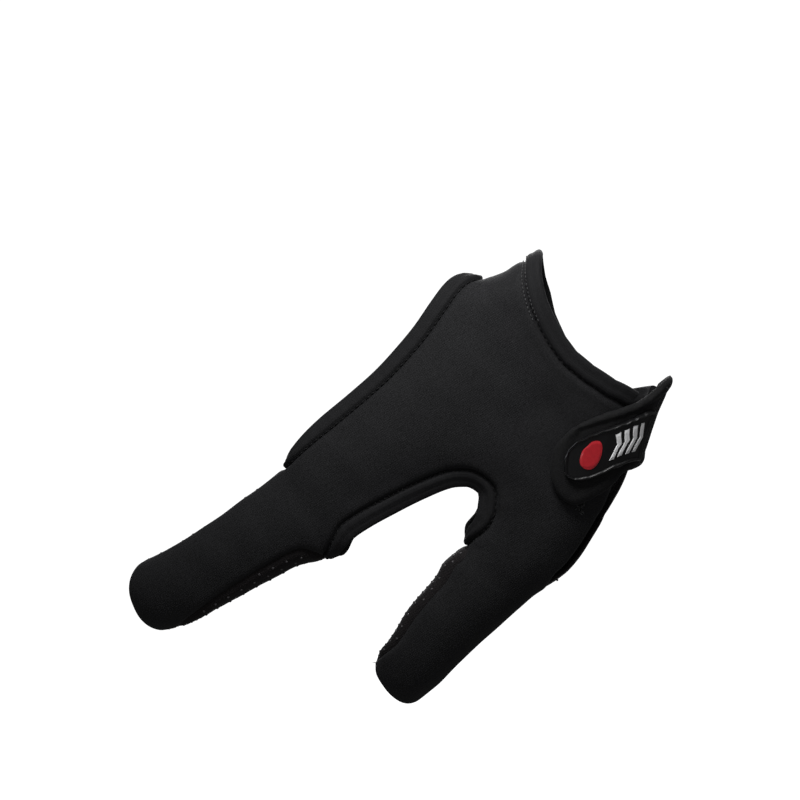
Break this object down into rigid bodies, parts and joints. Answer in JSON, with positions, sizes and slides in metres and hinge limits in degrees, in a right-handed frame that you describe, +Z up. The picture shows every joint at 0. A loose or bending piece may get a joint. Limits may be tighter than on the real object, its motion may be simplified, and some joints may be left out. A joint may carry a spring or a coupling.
{
  "type": "two-finger fishing glove",
  "caption": "Soft knit fishing glove that covers the thumb and forefinger, leaves the other fingers bare and closes with a wrist strap.",
  "frame": {"origin": "centre of the wrist opening, on the line between the two corners of its hem", "axes": "the back of the hand faces -Y, the forefinger points to -X and a little down, the thumb points down, +Z is up"},
  "size_m": [0.1963, 0.0422, 0.1635],
  "materials": {
    "knit": "matt smooth knit over foam",
    "palm_knit": "matt knit with light grip dots",
    "hook_tape": "matt hook tape",
    "badge_rubber": "glossy moulded",
    "badge_red": "glossy",
    "badge_white": "glossy"
  },
  "bodies": {
    "root": {"back_panel": "knit", "palm_panel": "palm_knit", "wrist_hem": "knit", "finger_hem": "knit", "web_hem": "knit", "strap": "knit", "hook_patch": "hook_tape", "badge": "badge_rubber", "badge_disc": "badge_red", "badge_chevron_1": "badge_white", "badge_chevron_2": "badge_white", "badge_chevron_3": "badge_white", "badge_chevron_4": "badge_white"}
  },
  "joints": []
}
